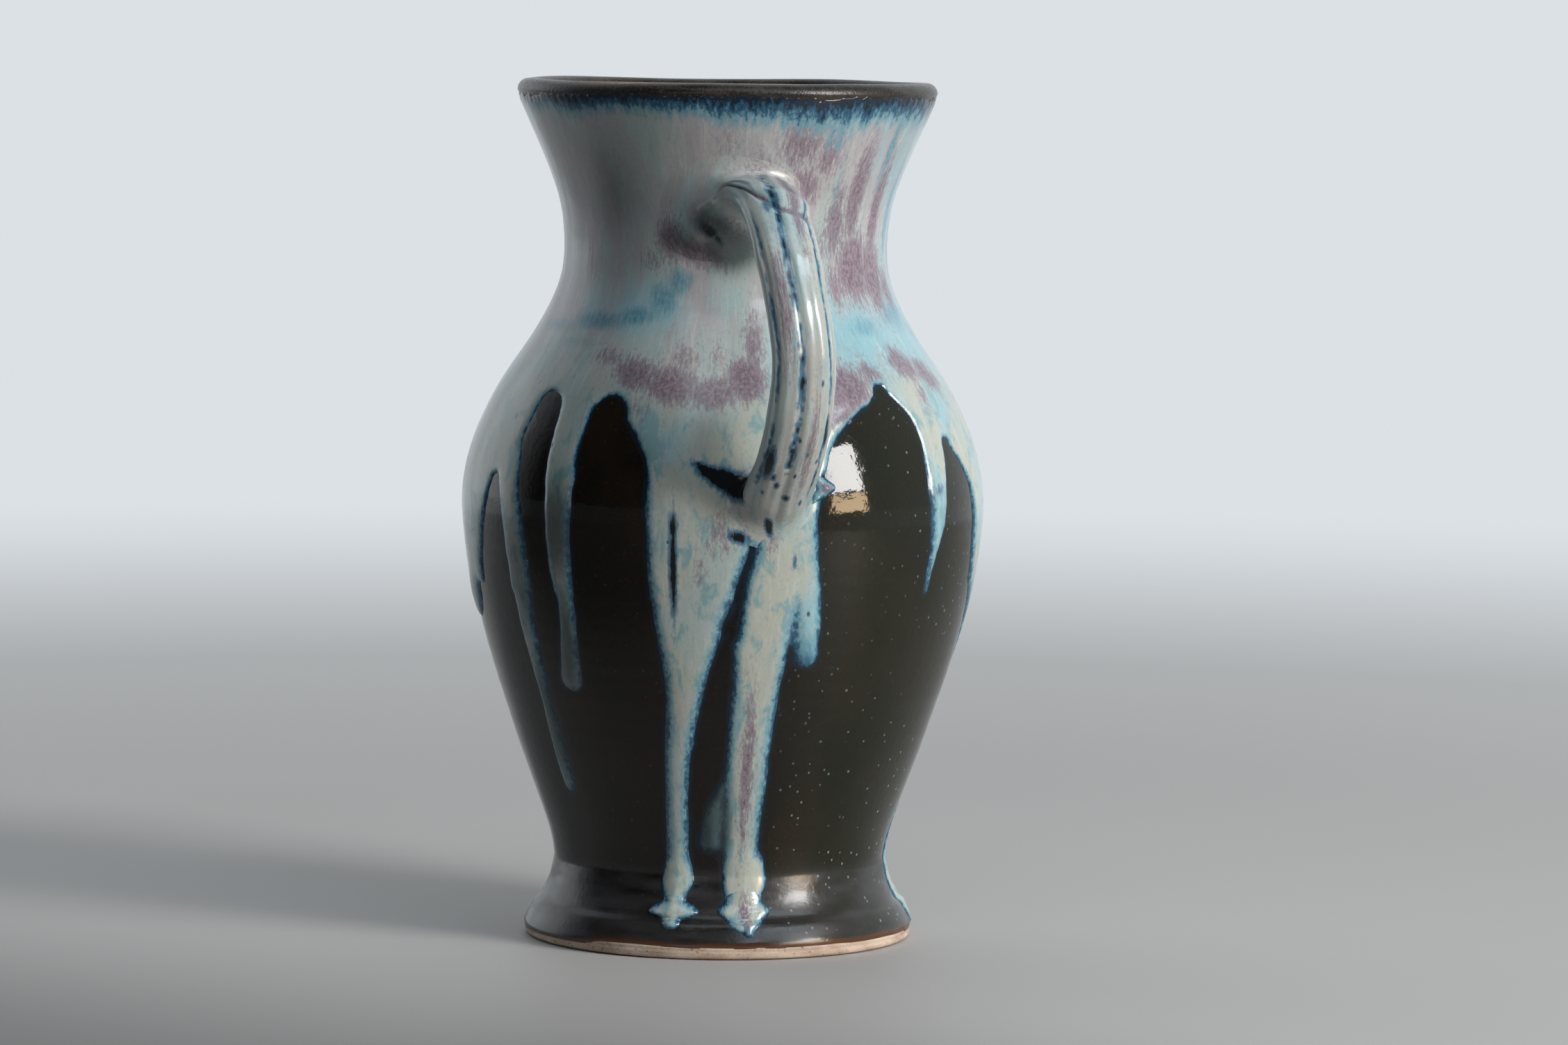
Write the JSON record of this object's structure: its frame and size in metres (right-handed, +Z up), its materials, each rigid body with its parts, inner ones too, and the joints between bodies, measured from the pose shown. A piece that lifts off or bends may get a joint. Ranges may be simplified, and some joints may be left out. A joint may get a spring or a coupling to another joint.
{
  "type": "stoneware pottery vase",
  "caption": "Free-standing thrown stoneware vase of jug form: flared foot, full belly, waisted neck with a rolled lip, one strap handle and poured glaze.",
  "frame": {"origin": "centre of the foot's standing face, on the vessel's axis", "axes": "+Z up along the vessel's axis; the handle stands out towards -Y; +X to the right when the handle faces the viewer"},
  "size_m": [0.1716, 0.2064, 0.2815],
  "materials": {
    "foot_clay": "bare fired stoneware, buff to brown, fine grog, matt",
    "body_clay": "fired stoneware under glaze, matt",
    "liner_glaze": "dark brown-black liner glaze, glossy",
    "dark_glaze": "brown-black to olive-black iron glaze with fine specks, glossy",
    "pale_glaze": "pale blue and cream opalescent glaze with purple streaks and blue edges, satin gloss",
    "rim_glaze": "dark metallic brown, satin, glaze thinned over the lip"
  },
  "bodies": {
    "root": {"foot_ring": "foot_clay", "belly": "body_clay", "neck": "body_clay", "handle": "body_clay", "upper_lute": "body_clay", "lower_lute": "body_clay", "liner_glaze": "liner_glaze", "dark_glaze": "dark_glaze", "pale_glaze": "pale_glaze", "handle_glaze": "pale_glaze", "foot_pools": "pale_glaze", "rim_band": "rim_glaze"}
  },
  "joints": []
}
